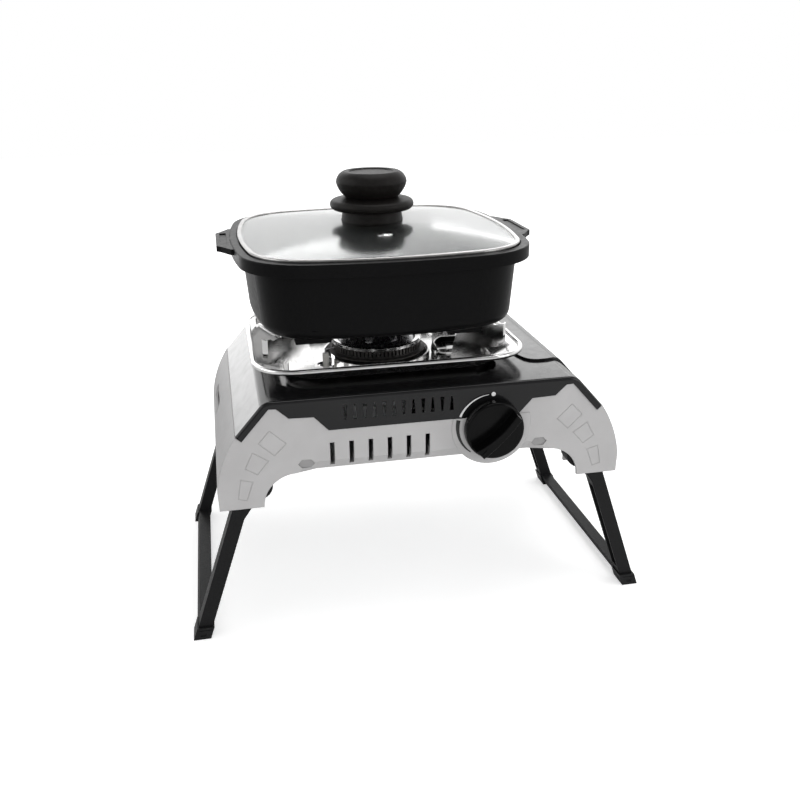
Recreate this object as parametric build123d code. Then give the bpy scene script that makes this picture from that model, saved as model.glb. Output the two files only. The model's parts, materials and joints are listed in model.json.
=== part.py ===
from build123d import *
import math
import os

os.makedirs("parts", exist_ok=True)

# Heights of the body, each from the level below it
leg_height = 127.5
arch_height = 29.0
panel_height = 67.0
shoulder_drop = 29.0
waist_rise = 43.0
bulge_rise = 18.0

# Widths of the body from the middle to the right, and its depth
top_half = 136.5
shoulder_width = 25.5
waist_out = 12.5
bulge_out = 18.6
end_tuck = 0.6
end_width = 38.0
body_depth = 247.0

# Materials and fits
wall = 3.0
sheet = 1.0
thin = 0.8
running = 0.05
seam = 0.4

# Control knob, cartridge bay and burner compartment
knob_rise = 27.7
knob_reach = 26.0
knob_gap = 23.8
bay_inset = 17.5
bay_half = 36.0
well_margin = 18.5
well_depth = 7.5
burner_offset = 4.5

# Drip tray and pan, sizes beyond the well they stand in
tray_overhang = 21.5
tray_shift = 4.5
rim_over_x = 7.3
rim_over_y = 29.5

# Levels and widths that follow
panel_bottom = leg_height + arch_height
top_z = panel_bottom + panel_height
shoulder_z = top_z - shoulder_drop
waist_z = leg_height + waist_rise
bulge_z = leg_height + bulge_rise
shoulder_x = top_half + shoulder_width
waist_x = shoulder_x + waist_out
bulge_x = shoulder_x + bulge_out
housing_half = bulge_x - end_tuck
arch_foot_x = housing_half - end_width
arch_x = arch_foot_x - arch_height
cartridge_x = top_half - bay_inset
shield_x = cartridge_x - bay_half
knob_x = shield_x - knob_gap
knob_z = panel_bottom + knob_rise
well_right = shield_x - 3.5
well_left = 11.0 - top_half
well_x = (well_left + well_right) / 2
well_half_x = (well_right - well_left) / 2
well_half_y = body_depth / 2 - well_margin
well_floor = top_z - well_depth
tray_x = well_x + tray_shift
tray_half_x = well_half_x + tray_overhang
tray_half_y = well_half_y - 1.0
burner_x = tray_x - 1.0
pan_x = burner_x - 1.2
rim_half_x = tray_half_x + rim_over_x
rim_half_y = tray_half_y + rim_over_y

# Front face of the body, set so that knob and pan rim are equally far from the origin
burner_back = body_depth / 2 + burner_offset
front_y = (knob_reach - burner_back - rim_half_y) / 2
rear_y = front_y + body_depth
mid_y = front_y + body_depth / 2
burner_y = front_y + burner_back


def behind(distance):
    """Y of a plane that lies a distance behind the front face."""
    return front_y + distance


def polygon(points):
    return make_face(Polyline(*points, close=True))


def slab(sketch, y_low, y_high):
    """A front-view sketch, drawn in X and Z, pulled through from y_low to y_high."""
    plane = Plane(origin=(0, y_high, 0), x_dir=(1, 0, 0), z_dir=(0, -1, 0))
    return extrude(plane * sketch, amount=y_high - y_low)


def block(x_low, x_high, y_low, y_high, z_low, z_high):
    centre = ((x_low + x_high) / 2, (y_low + y_high) / 2, (z_low + z_high) / 2)
    return Pos(*centre) * Box(x_high - x_low, y_high - y_low, z_high - z_low)


def rod_y(x, z, radius, y_low, y_high):
    return slab(Pos(x, z) * Circle(radius), y_low, y_high)


def rod_z(x, y, radius, z_low, z_high):
    return extrude(Pos(x, y, z_low) * Circle(radius), amount=z_high - z_low)


def raised(face, z_low, z_high):
    """A plan outline pulled up from z_low to z_high."""
    return extrude(Pos(0, 0, z_low) * face, amount=z_high - z_low)


def frustum(x, y, low, high):
    """Loft between two rounded rectangles, each (half_x, half_y, corner, z)."""
    faces = [Pos(x, y, s[3]) * RectangleRounded(2 * s[0], 2 * s[1], s[2]) for s in (low, high)]
    return loft(faces, ruled=True)


def along(start, direction, radius, length):
    return extrude(Plane(origin=start, z_dir=direction) * Circle(radius), amount=length)


def turned(points, x, y):
    """Solid of revolution about the upright axis through x, y; points are (radius, z)."""
    face = Plane.XZ * polygon(points)
    return Pos(x, y, 0) * revolve(face, Axis.Z)


def both_sides(shape):
    return shape + mirror(shape, about=Plane.YZ)


def rear_copy(shape):
    return mirror(shape, about=Plane.XZ.offset(-mid_y))


def save(shape, name):
    export_step(shape, "parts/" + name + ".step")


# Shoulder geometry shared by the cover, the moulding and the cartridge lid
shoulder_run = math.hypot(shoulder_width, shoulder_drop)
slope_x = shoulder_width / shoulder_run
slope_z = -shoulder_drop / shoulder_run
normal_x = -slope_z
normal_z = slope_x
bend_radius = 14.0
fold_radius = 3.0


def on_shoulder(up, depth):
    """Point a distance up the shoulder from its lower end and a depth under its surface."""
    x = shoulder_x - slope_x * up - normal_x * depth
    z = shoulder_z - slope_z * up - normal_z * depth
    return x, z


# Moulded body: front and rear faces, arched ends, side walls
cover_drop = fold_radius + 0.2
outer_top = (shoulder_x + slope_x * seam, shoulder_z + slope_z * seam)
shelf_x, shelf_z = on_shoulder(-seam, cover_drop)
ridge_x, ridge_z = on_shoulder(shoulder_run - 6.0, cover_drop)
face_top = top_z - cover_drop
face_flat = top_half - bend_radius
side_curve = ThreePointArc(outer_top, (waist_x, waist_z), (bulge_x, bulge_z))
arch_side = arch_height * math.sqrt(0.5)
arch_middle = (arch_x + arch_side, leg_height + arch_side)
arch_curve = ThreePointArc((arch_foot_x, leg_height), arch_middle, (arch_x, panel_bottom))
face_lines = [
    side_curve,
    Polyline((bulge_x, bulge_z), (housing_half, leg_height), (arch_foot_x, leg_height)),
    arch_curve,
    Polyline((arch_x, panel_bottom), (0, panel_bottom), (0, face_top), (face_flat, face_top)),
    Polyline((face_flat, face_top), (ridge_x, ridge_z), (shelf_x, shelf_z), outer_top),
]
half_face = make_face(face_lines)
inner_top = on_shoulder(-seam, wall)
side_inner = ThreePointArc(inner_top, (waist_x - wall, waist_z), (bulge_x - wall, bulge_z))
side_lines = [
    side_curve,
    Polyline((bulge_x, bulge_z), (housing_half, leg_height), (housing_half - wall, leg_height)),
    Polyline((housing_half - wall, leg_height), (bulge_x - wall, bulge_z)),
    side_inner,
    Line(inner_top, outer_top),
]
side_face = make_face(side_lines)

# Leg frame stations
pivot_x = arch_foot_x + 4.0
pivot_z = leg_height + 18.0
eye_radius = 12.5
strut_front = 4.0
strut_back = 20.0
pin_radius = 3.0
cheek_low = strut_back + 1.0
cheek_high = cheek_low + 3.0
foot_x = housing_half + 24.1
strut_end_z = 5.0
strut_half = 6.4
strut_line_x = arch_foot_x + 20.3
strut_slope = (foot_x - strut_line_x) / (leg_height - strut_end_z)


def strut_x(z):
    return foot_x - strut_slope * (z - strut_end_z)


# Lower lip of the front and rear faces with its slanted band
lip_back = 9.0
lip_top = panel_bottom + 11.0
band_rise = 9.0
band_recess = 6.0
band_full = arch_x - 18.0


def band_section(x, rise, recess):
    top = panel_bottom + rise
    low = panel_bottom - 1.0
    points = [(behind(-1), top), (behind(0), top), (behind(recess), panel_bottom), (behind(recess), low)]
    return Pos(x, 0, 0) * (Plane.YZ * polygon(points + [(behind(-1), low)]))


# Fixing screws of the base in six-sided pockets
screw_x = arch_x - 9.0
screw_z = panel_bottom + 7.8
pocket_half = 7.2
pocket_flat = 4.0
pocket_rise = 3.8
pocket_floor = 6.0
screw_radius = 2.0
screw_head = 3.3
pocket_points = [(-pocket_half, 0), (-pocket_flat, pocket_rise), (pocket_flat, pocket_rise)]
pocket_points += [(pocket_half, 0), (pocket_flat, -pocket_rise), (-pocket_flat, -pocket_rise)]
pocket_face = Pos(screw_x, screw_z) * polygon(pocket_points)

front_half = slab(half_face, front_y, behind(wall))
front_half += block(0, arch_x - 1, behind(wall), behind(lip_back), panel_bottom, lip_top)
front_half += block(
    pivot_x - 9, waist_x - 1, behind(cheek_low), behind(cheek_high), leg_height + 5, panel_bottom
)
stop_low = leg_height + 2.0
stop_high = leg_height + 12.0
stop_out = housing_half - 1.0
stop_face = [(strut_x(stop_low) + strut_half + 1, stop_low), (stop_out, stop_low), (stop_out, stop_high)]
stop_face.append((strut_x(stop_high) + strut_half + 1, stop_high))
front_half += slab(polygon(stop_face), behind(wall), behind(cheek_low))
front_half -= extrude(band_section(0, band_rise, band_recess), amount=band_full)
front_half -= loft(
    [band_section(band_full, band_rise, band_recess), band_section(arch_x, 0.4, 0.3)], ruled=True
)
front_half -= slab(pocket_face, behind(-1), behind(pocket_floor))
front_half -= rod_y(screw_x, screw_z, screw_radius + running, behind(0), behind(lip_back + 1))
front_half -= rod_y(pivot_x, pivot_z, pin_radius + running, behind(1.2), behind(cheek_high + 1))
ends_half = front_half + rear_copy(front_half) + slab(side_face, front_y, rear_y)

# Hand slot through each side wall
grip_low = panel_bottom + 3.0
grip_high = panel_bottom + 16.0
grip_cut = block(waist_x - 12, bulge_x + 4, rear_y - 107, rear_y - 47, grip_low, grip_high)
grip_cut = fillet(grip_cut.edges().filter_by(Axis.X), 6.0)
ends_half -= grip_cut
frame_housing = both_sides(ends_half)

# Round boss of the front face behind the control knob
knob_radius = 26.0
boss_radius = knob_radius + 10.0
boss_proud = 1.0
skirt_line = knob_z + 9.8
boss = rod_y(knob_x, knob_z, boss_radius, behind(-boss_proud), behind(wall))
boss = chamfer(boss.faces().sort_by(Axis.Y)[0].edges(), 0.6)
boss += rod_y(knob_x, knob_z, boss_radius, behind(wall - 0.5), behind(lip_back))
boss_left = knob_x - boss_radius - 1
boss_right = knob_x + boss_radius + 1
boss_over = knob_z + boss_radius + 1
boss -= block(boss_left, boss_right, behind(-9), behind(0), skirt_line - seam, boss_over)
boss -= block(boss_left, boss_right, behind(wall), behind(20), lip_top, boss_over)
frame_housing += boss
neck_radius = 8.0
frame_housing -= rod_y(knob_x, knob_z, neck_radius + 0.5, behind(-9), behind(20))

# Vents: a lower row in the moulding, an upper row of tapered slots in the cover's skirt
low_vent_pitch = 16.7
low_vent_last = knob_x - 57.2
low_vent_count = 1 + int((low_vent_last + screw_x - 22.0) / low_vent_pitch)
low_vents = [low_vent_last - index * low_vent_pitch for index in range(low_vent_count)]
low_vent_half = 2.0
low_vent_z = (panel_bottom + 3.6, panel_bottom + 25.6)
high_vent_pitch = 8.42
high_vent_last = knob_x - 36.1
notch_x = top_half - 52.5
high_vent_count = 1 + int((high_vent_last + notch_x - 14.0) / high_vent_pitch)
high_vents = [high_vent_last - index * high_vent_pitch for index in range(high_vent_count)]
high_vent_wide = 1.7
high_vent_narrow = 0.8
high_vent_z = (skirt_line + 8.5, top_z - 8.0)
for x in low_vents:
    slot = block(x - low_vent_half, x + low_vent_half, behind(-1), behind(lip_back + 1), *low_vent_z)
    frame_housing -= slot
    frame_housing -= rear_copy(slot)
window_z = (high_vent_z[0] - 3, high_vent_z[1] + 3)
window = block(high_vents[-1] - 6, high_vents[0] + 6, behind(-1), behind(wall + 1), *window_z)
frame_housing -= window
frame_housing -= rear_copy(window)

# Engraved outlines that follow each front arch: centre, tilt, half widths, half length
groove = 0.6
groove_depth = 0.3
engraved = [
    ((shoulder_x - 30.0, shoulder_z - 8.4), 44.0, 9.6, 9.2, 7.6),
    ((bulge_x - 33.9, bulge_z + 22.9), 34.0, 8.1, 6.2, 7.9),
    ((bulge_x - 22.9, bulge_z - 0.5), 15.0, 5.6, 4.0, 9.2),
]
for centre, tilt, upper, lower, length in engraved:
    outer = polygon([(-upper, length), (upper, length), (lower, -length), (-lower, -length)])
    ring = outer - offset(outer, -groove)
    mark = slab(Pos(*centre) * Rot(0, 0, tilt) * ring, behind(-1), behind(groove_depth))
    frame_housing -= both_sides(mark)

# Lugs that carry the hinge pin of the cartridge lid
hinge_up = 5.5
barrel_radius = 3.0
hinge_pin_radius = 1.5
lid_raise = 2.0
hinge_x, hinge_z = on_shoulder(hinge_up, sheet + barrel_radius)
lid_rear = rear_y - 11.0
knuckle_length = 16.0
lug_length = 8.0
lug_half = 2.4
hinge_stations = (behind(84), rear_y - 47)
lid_swing = rod_y(hinge_x, hinge_z, barrel_radius + lid_raise + sheet + 1.9, behind(46), lid_rear + 1)
for station in hinge_stations:
    lug_start = station + 0.5
    lug_end = lug_start + lug_length
    lug = rod_y(hinge_x, hinge_z, barrel_radius - 0.4, lug_start, lug_end)
    lug += block(hinge_x - lug_half, hinge_x + lug_half, lug_start, lug_end, hinge_z - 12, hinge_z)
    lug += block(hinge_x - lug_half, shoulder_x + 3.5, lug_start, lug_end, hinge_z - 12, hinge_z - 6)
    lug -= rod_y(hinge_x, hinge_z, hinge_pin_radius + running, station, lug_end + 1)
    frame_housing += lug
    lid_swing -= block(hinge_x - 20, hinge_x + 4.0, lug_start, lug_end, hinge_z - 20, hinge_z + 20)
frame_housing -= lid_swing
save(frame_housing, "frame_housing")

# Enamelled cover: flat top, slanted shoulders, front and rear skirts, pressed well
skirt_notch = [(notch_x, skirt_line), (notch_x + 12.0, skirt_line + 13.0)]
skirt_notch += [(notch_x + 33.0, skirt_line + 13.7), (notch_x + 43.0, top_z - 6.6)]
trim_width = 6.5
trim_tip = on_shoulder(shoulder_run - 2.5, trim_width)
trim_end = on_shoulder(0, trim_width)
far_up = on_shoulder(0, -60)
outside = bulge_x + 60.0
below = [(0, skirt_line)] + skirt_notch + [trim_tip, trim_end, far_up]
below += [(outside, top_z + 10), (outside, leg_height), (0, leg_height)]
below_cut = both_sides(slab(polygon(below), behind(-20), rear_y + 20))
low_end = on_shoulder(-12, 0)
roof_low = leg_height + 16.0
roof_points = [(0, roof_low), (low_end[0], roof_low), low_end, (top_half, top_z), (0, top_z)]
roof_points += [(-top_half, top_z), (-low_end[0], low_end[1]), (-low_end[0], roof_low)]
roof_face = polygon(roof_points)
roof_face = fillet(roof_face.vertices().group_by(Axis.Y)[-1].filter_by(lambda v: abs(v.X) > 1), bend_radius)
roof_inner = offset(roof_face, -sheet, kind=Kind.INTERSECTION)


def roof_block(face, y_low, y_high, radius):
    body = slab(face, y_low, y_high)
    rims = body.faces().sort_by(Axis.Y)[0].edges() + body.faces().sort_by(Axis.Y)[-1].edges()
    return fillet(rims.filter_by(lambda e: e.center().Z > shoulder_z - 15), radius)


roof_solid = roof_block(roof_face, front_y - sheet, rear_y + sheet, fold_radius)
roof_hollow = roof_block(roof_inner, front_y, rear_y, fold_radius - sheet)
top_cover = roof_solid - roof_hollow - below_cut
well_corner = 34.0
well_outer = Pos(well_x, burner_y) * RectangleRounded(2 * well_half_x, 2 * well_half_y, well_corner)
well_inner = offset(well_outer, -sheet)
top_cover -= raised(well_outer, top_z - 4, top_z + 4)
top_cover += raised(well_outer, well_floor - sheet, top_z) - raised(well_inner, well_floor, top_z + 1)

# Burner and electrode openings in the well and the tray
port_wall = 43.0
flange_radius = port_wall + 4.0
burner_hole = flange_radius + 3.0
electrode_x = burner_x - burner_hole - 2.5
electrode_y = burner_y - 24.0
electrode_hole = 8.0
burner_opening = rod_z(burner_x, burner_y, burner_hole, well_floor - 20, well_floor + 30)
burner_opening += rod_z(electrode_x, electrode_y, electrode_hole, well_floor - 20, well_floor + 30)
top_cover -= burner_opening
for index, x in enumerate(high_vents):
    low_half, high_half = high_vent_wide, high_vent_narrow
    if index % 2:
        low_half, high_half = high_vent_narrow, high_vent_wide
    corners = [(x - low_half, high_vent_z[0]), (x + low_half, high_vent_z[0])]
    corners += [(x + high_half, high_vent_z[1]), (x - high_half, high_vent_z[1])]
    slot = slab(polygon(corners), behind(-3), behind(0.5))
    top_cover -= slot
    top_cover -= rear_copy(slot)

# Cartridge lid outline in plan: a waved front edge, a straight inner edge
lid_gap = 0.8
lid_inner_x = top_half - 35.5
lid_low = roof_low + 30.0
lid_over = top_z + 20.0


def lid_outline(grow):
    """Plan outline of the cartridge lid, grown all round for the opening in the cover."""
    start = (lid_inner_x - grow, behind(85))
    flank = (lid_inner_x + 4.5 - 0.86 * grow, behind(57) - 0.5 * grow)
    crest = (lid_inner_x + 18.0, behind(47) - grow)
    corner = (lid_inner_x + 36.0, behind(51) - grow)
    first = TangentArc(start, flank, tangent=(0, -1))
    second = TangentArc(flank, crest, tangent=first % 1)
    third = TangentArc(crest, corner, tangent=second % 1)
    right = shoulder_x + 30
    back = lid_rear + grow
    rest = Polyline(corner, (right, behind(51) - grow), (right, back), (lid_inner_x - grow, back), start)
    return make_face([first, second, third, rest])


under_z = top_z - sheet
top_cover -= raised(lid_outline(lid_gap), lid_low, lid_over)
for tab_low in (behind(110), rear_y - 57):
    top_cover += block(
        lid_inner_x - 12, lid_inner_x + 5, tab_low, tab_low + 20, under_z - sheet, under_z
    )
save(top_cover, "top_cover")

# Cartridge lid: raised sheet with turned-down edges, hinged low on the right shoulder
lid_top = slab(offset(roof_face, lid_raise), behind(30), rear_y)
lid_under = slab(offset(roof_face, lid_raise - sheet), behind(30), rear_y)
lid_edge = slab(roof_inner, behind(30), rear_y)
cartridge_lid = (lid_top - lid_under) & raised(lid_outline(0), lid_low, lid_over)
turned_edge = raised(lid_outline(0), lid_low, lid_over) - raised(lid_outline(-sheet), lid_low, lid_over)
cartridge_lid += (lid_top - lid_edge) & turned_edge
lid_end = [on_shoulder(hinge_up - 1.0, -20), on_shoulder(hinge_up - 1.0, 20)]
lid_end += [(cartridge_x - 20, leg_height), (outside, leg_height), (outside, top_z + 10)]
cartridge_lid -= slab(polygon(lid_end), behind(0), rear_y)
web_top = 0.4 - lid_raise
web_low = sheet + barrel_radius
web_points = [on_shoulder(hinge_up - 0.8, web_top), on_shoulder(hinge_up - 0.8, web_low)]
web_points += [on_shoulder(hinge_up + 2.4, web_low), on_shoulder(hinge_up + 3.0, web_top)]
for station in hinge_stations:
    cartridge_lid -= block(
        shoulder_x - 14, outside, station, station + lug_length + 1, lid_low, hinge_z + 7
    )
    start = station - knuckle_length
    knuckle = rod_y(hinge_x, hinge_z, barrel_radius, start, station)
    knuckle += slab(polygon(web_points), start, station)
    knuckle -= rod_y(hinge_x, hinge_z, hinge_pin_radius + running, start - 1, station + 1)
    cartridge_lid += knuckle
save(cartridge_lid, "cartridge_lid")
hinge_pin = rod_y(
    hinge_x, hinge_z, hinge_pin_radius, hinge_stations[0] - knuckle_length, hinge_stations[1] + lug_length
)
save(hinge_pin, "lid_hinge_pin")

# Base plate with turned-up edges, its four screws and the covers over them
base_z = panel_bottom + 2.0
base_top = base_z + sheet
base_flange = base_z + 15.0
base_left = -screw_x - 28.0
base_right = shield_x + 5.0
ear_half = 8.0
base_plate = block(base_left, base_right, behind(lip_back), rear_y - lip_back, base_z, base_top)
edge_y = (behind(lip_back), behind(lip_back + sheet))
edge = block(-screw_x - ear_half, low_vents[0] + 10, *edge_y, base_z, base_flange)
for x in low_vents:
    edge -= block(x - 3, x + 3, behind(lip_back - 1), behind(lip_back + 2), base_top + 0.4, base_flange + 1)
ear_right = screw_x + ear_half
edge += block(screw_x - ear_half, ear_right, *edge_y, base_z, base_flange)
edge += block(base_right - 8, ear_right, behind(lip_back), behind(lip_back + 11), base_z, base_top)
edge -= rod_y(screw_x, screw_z, screw_radius + running, behind(0), behind(20))
edge -= rod_y(-screw_x, screw_z, screw_radius + running, behind(0), behind(20))
base_plate += edge
base_plate += rear_copy(edge)
save(base_plate, "base_plate")
base_screw = rod_y(screw_x, screw_z, screw_head, behind(pocket_floor - 2.6), behind(pocket_floor))
base_screw += rod_y(screw_x, screw_z, screw_radius, behind(pocket_floor - 1), behind(lip_back + 5))
base_screw -= block(
    screw_x - 2.4, screw_x + 2.4, behind(0), behind(pocket_floor - 1.6), screw_z - 0.5, screw_z + 0.5
)
screw_cover = slab(offset(pocket_face, -running), behind(1.0), behind(pocket_floor - 3.0))


def four_fixings(shape):
    pair = [shape, mirror(shape, about=Plane.YZ)]
    return Compound(children=pair + [rear_copy(piece) for piece in pair])


save(four_fixings(base_screw), "base_screws")
save(four_fixings(screw_cover), "screw_covers")

# Cartridge cradle: folded trough beside the burner compartment
cartridge_radius = 33.5
cartridge_z = top_z - cartridge_radius - 2.0
cradle_floor = cartridge_z - cartridge_radius - 0.5
trough = [(-49.0, base_top), (-30.5, base_top), (-21.0, cradle_floor - sheet), (20.0, cradle_floor - sheet)]
trough += [(34.0, cartridge_z - 21.5), (38.0, cartridge_z - 8.5), (37.0, cartridge_z - 8.1)]
trough += [(33.2, cartridge_z - 20.6), (19.4, cradle_floor), (-20.4, cradle_floor)]
trough += [(-30.0, base_top + sheet), (-49.0, base_top + sheet)]
cradle_holes = [(shield_x - 7.0, behind(70)), (shield_x - 7.0, rear_y - 42)]
cradle = slab(Pos(cartridge_x, 0) * polygon(trough), behind(50), rear_y - 27)
cradle_screw_radius = 1.5
for x, y in cradle_holes:
    cradle -= rod_z(x, y, cradle_screw_radius + running, base_top - 1, base_top + 3)
save(cradle, "cartridge_cradle")

# Heat shield standing between the burner and the cartridge bay
shield_top = top_z - 11.0
shield_foot = base_top + sheet
shield_rear = rear_y - 15.0
heat_shield = block(shield_x, shield_x + thin, behind(54), shield_rear, shield_foot, shield_top)
heat_shield += block(shield_x - 13, shield_x + thin, behind(54), shield_rear, shield_foot, shield_foot + thin)
cradle_screws = []
for x, y in cradle_holes:
    heat_shield -= rod_z(x, y, cradle_screw_radius + running, shield_foot - 1, shield_foot + 3)
    screw = rod_z(x, y, cradle_screw_radius + 1.3, shield_foot + thin, shield_foot + thin + 1.8)
    screw += rod_z(x, y, cradle_screw_radius, base_top, shield_foot + thin + 0.5)
    cradle_screws.append(screw)
save(heat_shield, "heat_shield")
save(Compound(children=cradle_screws), "cradle_screws")

# Burner: cast body with slotted wall, bright ring, notched crown, carrier
tube_z = well_floor - 19.5
burner_low = tube_z - 13.0
burner_bowl = port_wall - 5.0
flange_z = well_floor + 6.5
port_inner = port_wall - 3.5
port_low = well_floor + 8.5
port_high = port_low + 7.0
crown_seat = well_floor + 3.5
bowl_inner = burner_bowl - 8.0
port_count = 72
port_half = 0.7
body_points = [(0, burner_low), (burner_bowl, burner_low), (burner_bowl, well_floor - 1.5)]
body_points += [(flange_radius, flange_z), (flange_radius, port_low - 0.8), (port_wall, port_low)]
body_points += [(port_wall, port_high), (port_inner, port_high), (port_inner, crown_seat)]
body_points += [(bowl_inner, crown_seat), (bowl_inner, burner_low + 4), (0, burner_low + 4)]
burner_body = turned(body_points, burner_x, burner_y)
port_pair = block(-port_wall - 3, port_wall + 3, -port_half, port_half, port_low + 0.8, port_high - 0.9)
for index in range(port_count // 2):
    burner_body -= Pos(burner_x, burner_y, 0) * Rot(0, 0, 360.0 * index / port_count) * port_pair

# Mixing tube from the valve's jet to the burner
tube_mouth = (knob_x - 14.2, behind(52), tube_z)
tube_dx = burner_x - tube_mouth[0]
tube_dy = burner_y - tube_mouth[1]
tube_run = math.hypot(tube_dx, tube_dy)
tube_dir = (tube_dx / tube_run, tube_dy / tube_run, 0)
tube_outer = 9.0
tube_bore = 7.6
tube_length = tube_run - burner_bowl - 5.0


def on_tube(distance):
    """Point on the mixing tube's axis, a distance from its mouth towards the burner."""
    return (tube_mouth[0] + tube_dir[0] * distance, tube_mouth[1] + tube_dir[1] * distance, tube_z)


burner_body += along(on_tube(tube_length), tube_dir, tube_outer + 2.0, 10.0)
burner_body -= along(on_tube(tube_length - 1), tube_dir, tube_bore, 26.0)
save(burner_body, "burner_body")
mixing_tube = along(tube_mouth, tube_dir, tube_outer, tube_length)
mixing_tube += along(tube_mouth, tube_dir, tube_outer + 1.6, 6.0)
mixing_tube -= along(on_tube(-1), tube_dir, tube_bore, tube_length + 2)
mixing_tube -= Pos(*on_tube(9)) * Box(40, 5, 8)
save(mixing_tube, "mixing_tube")
ring_out = port_wall + 0.8
ring_in = port_inner - 1.6
ring_points = [(ring_in, port_high), (ring_out, port_high), (ring_out, port_high + 2.4)]
ring_points += [(ring_out - 1.0, port_high + 3.2), (ring_in, port_high + 2.0)]
save(turned(ring_points, burner_x, burner_y), "burner_ring")
crown_radius = port_inner - 3.0
crown_mouth = crown_radius - 9.0
crown_bend = port_high + 1.0
crown_top = crown_bend + 8.5
crown_wall = 1.4
crown_points = [(0, crown_seat), (crown_radius, crown_seat), (crown_radius, crown_bend)]
crown_points += [(crown_mouth, crown_top), (crown_mouth - crown_wall, crown_top)]
crown_points += [(crown_radius - crown_wall, crown_bend - 0.6)]
crown_points += [(crown_radius - crown_wall, crown_seat + 1.2), (0, crown_seat + 1.2)]
crown = turned(crown_points, burner_x, burner_y)
crown_notches = 8
notch_points = [(-4.6, crown_top + 1), (4.6, crown_top + 1), (3.2, crown_top - 4.6), (-3.2, crown_top - 4.6)]
notch = extrude(Plane.YZ * polygon(notch_points), amount=crown_radius + 4)
for index in range(crown_notches):
    crown -= Pos(burner_x, burner_y, 0) * Rot(0, 0, 360.0 * (index + 0.5) / crown_notches) * notch
save(crown, "burner_crown")
carrier_half = 30.0
carrier_sheet = 1.2
carrier_side = block(
    carrier_half - carrier_sheet, carrier_half, -16, 16, base_top, burner_low
) + block(carrier_half - carrier_sheet, carrier_half + 14, -16, 16, base_top, base_top + carrier_sheet)
carrier = block(-carrier_half, carrier_half, -16, 16, burner_low - carrier_sheet, burner_low)
carrier = Pos(burner_x, burner_y, 0) * (carrier + both_sides(carrier_side))
carrier_screw_radius = 1.5
carrier_screws = []
for side in (-1, 1):
    x = burner_x + side * (carrier_half + 7)
    carrier -= rod_z(x, burner_y, carrier_screw_radius + running, base_top - 1, base_top + 4)
    screw = rod_z(x, burner_y, 3.0, base_top + carrier_sheet, base_top + carrier_sheet + 2)
    carrier_screws.append(screw + rod_z(x, burner_y, carrier_screw_radius, base_top, base_top + 2))
save(carrier, "burner_carrier")
save(Compound(children=carrier_screws), "carrier_screws")

# Spark electrode on its stand, left of the burner
tray_floor = well_floor
stand_top = well_floor - 16.5
stand_sheet = 1.2
stand = block(-9, 9, -7, 7, stand_top - stand_sheet, stand_top)
stand += block(-9, stand_sheet - 9, -7, 7, base_top, stand_top)
stand += block(-9, 6, -7, 7, base_top, base_top + stand_sheet)
stand = Pos(electrode_x, electrode_y, 0) * stand
ceramic_radius = 3.0
stand -= rod_z(electrode_x, electrode_y, ceramic_radius + running, stand_top - 3, stand_top + 1)
save(stand, "electrode_stand")
ceramic_low = stand_top - 10.0
ceramic_high = tray_floor + 11.5
ceramic = rod_z(electrode_x, electrode_y, ceramic_radius, ceramic_low, ceramic_high)
ceramic += rod_z(electrode_x, electrode_y, ceramic_radius + 1.6, stand_top, stand_top + 5)
save(ceramic, "electrode_ceramic")
tip_height = 5.0
tip_radius = 0.9
tip = rod_z(electrode_x, electrode_y, tip_radius, ceramic_high, ceramic_high + tip_height)
tip_dir = (burner_x - electrode_x, burner_y - electrode_y, 0)
tip += along((electrode_x, electrode_y, ceramic_high + tip_height - tip_radius), tip_dir, tip_radius, 9.0)
save(tip, "electrode_tip")

# Gas valve, regulator, docking ring, spindle and jet
valve_radius = 15.0
valve_back = behind(42)
plate_back = behind(wall + 3)
piezo_x = knob_x - 28.0
piezo_z = knob_z - 6.7
valve = block(piezo_x - 6, knob_x + 24, behind(wall), plate_back, knob_z - 12.7, knob_z + 13.3)
valve += rod_y(knob_x, knob_z, valve_radius, plate_back, valve_back)
valve += rod_y(knob_x, knob_z, neck_radius, behind(-boss_proud), plate_back)
valve += block(knob_x, cartridge_x, behind(16), behind(32), knob_z - 6.7, knob_z + 9.3)
valve += rod_y(cartridge_x, cartridge_z, 20, behind(13), behind(40))
outlet = on_tube(-24)
valve += along(outlet, tube_dir, 6.5, 15.0)
valve += rod_z(outlet[0], outlet[1], 6.5, knob_z, tube_z)
spindle_radius = 3.0
valve -= rod_y(knob_x, knob_z, spindle_radius + running, behind(-9), behind(30))
save(valve, "gas_valve")
jet_plane = on_tube(-9)
jet = along(jet_plane, tube_dir, 4.5, 5.0)
jet += along(jet_plane, tube_dir, 2.6, 13.0)
jet -= along(on_tube(0), tube_dir, 0.6, 6.0)
save(jet, "gas_jet")
save(rod_y(cartridge_x, cartridge_z, 16.5, behind(11), behind(13)), "regulator_cap")
dock = rod_y(cartridge_x, cartridge_z, 16, behind(40), behind(47))
dock -= rod_y(cartridge_x, cartridge_z, 11.5, behind(39), behind(48))
dock -= block(cartridge_x - 3, cartridge_x + 3, behind(43), behind(48), cartridge_z + 8, cartridge_z + 20)
save(dock, "docking_ring")
knob_back = behind(-boss_proud - 3.5)
push_travel = 3.0
flat_height = 2.2
knob_disc = 9.5
bore_end = knob_back - knob_disc + 1.0
spindle_tip = bore_end + push_travel + 0.5
spindle = rod_y(knob_x, knob_z, spindle_radius, spindle_tip, behind(29))
spindle -= block(
    knob_x - 5, knob_x + 5, spindle_tip - 1, knob_back + push_travel + 0.5, knob_z + flat_height, knob_z + 9
)
save(spindle, "valve_spindle")
piezo = rod_y(piezo_x, piezo_z, 5.5, plate_back, behind(44))
piezo += rod_y(piezo_x, piezo_z, 3.0, behind(43), behind(47))
save(piezo, "piezo_igniter")
lead_points = [(piezo_x, behind(47), piezo_z), (piezo_x, behind(62), piezo_z)]
lead_points += [(electrode_x, electrode_y, piezo_z), (electrode_x, electrode_y, ceramic_low)]
lead_path = FilletPolyline(*lead_points, radius=6.0)
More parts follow.
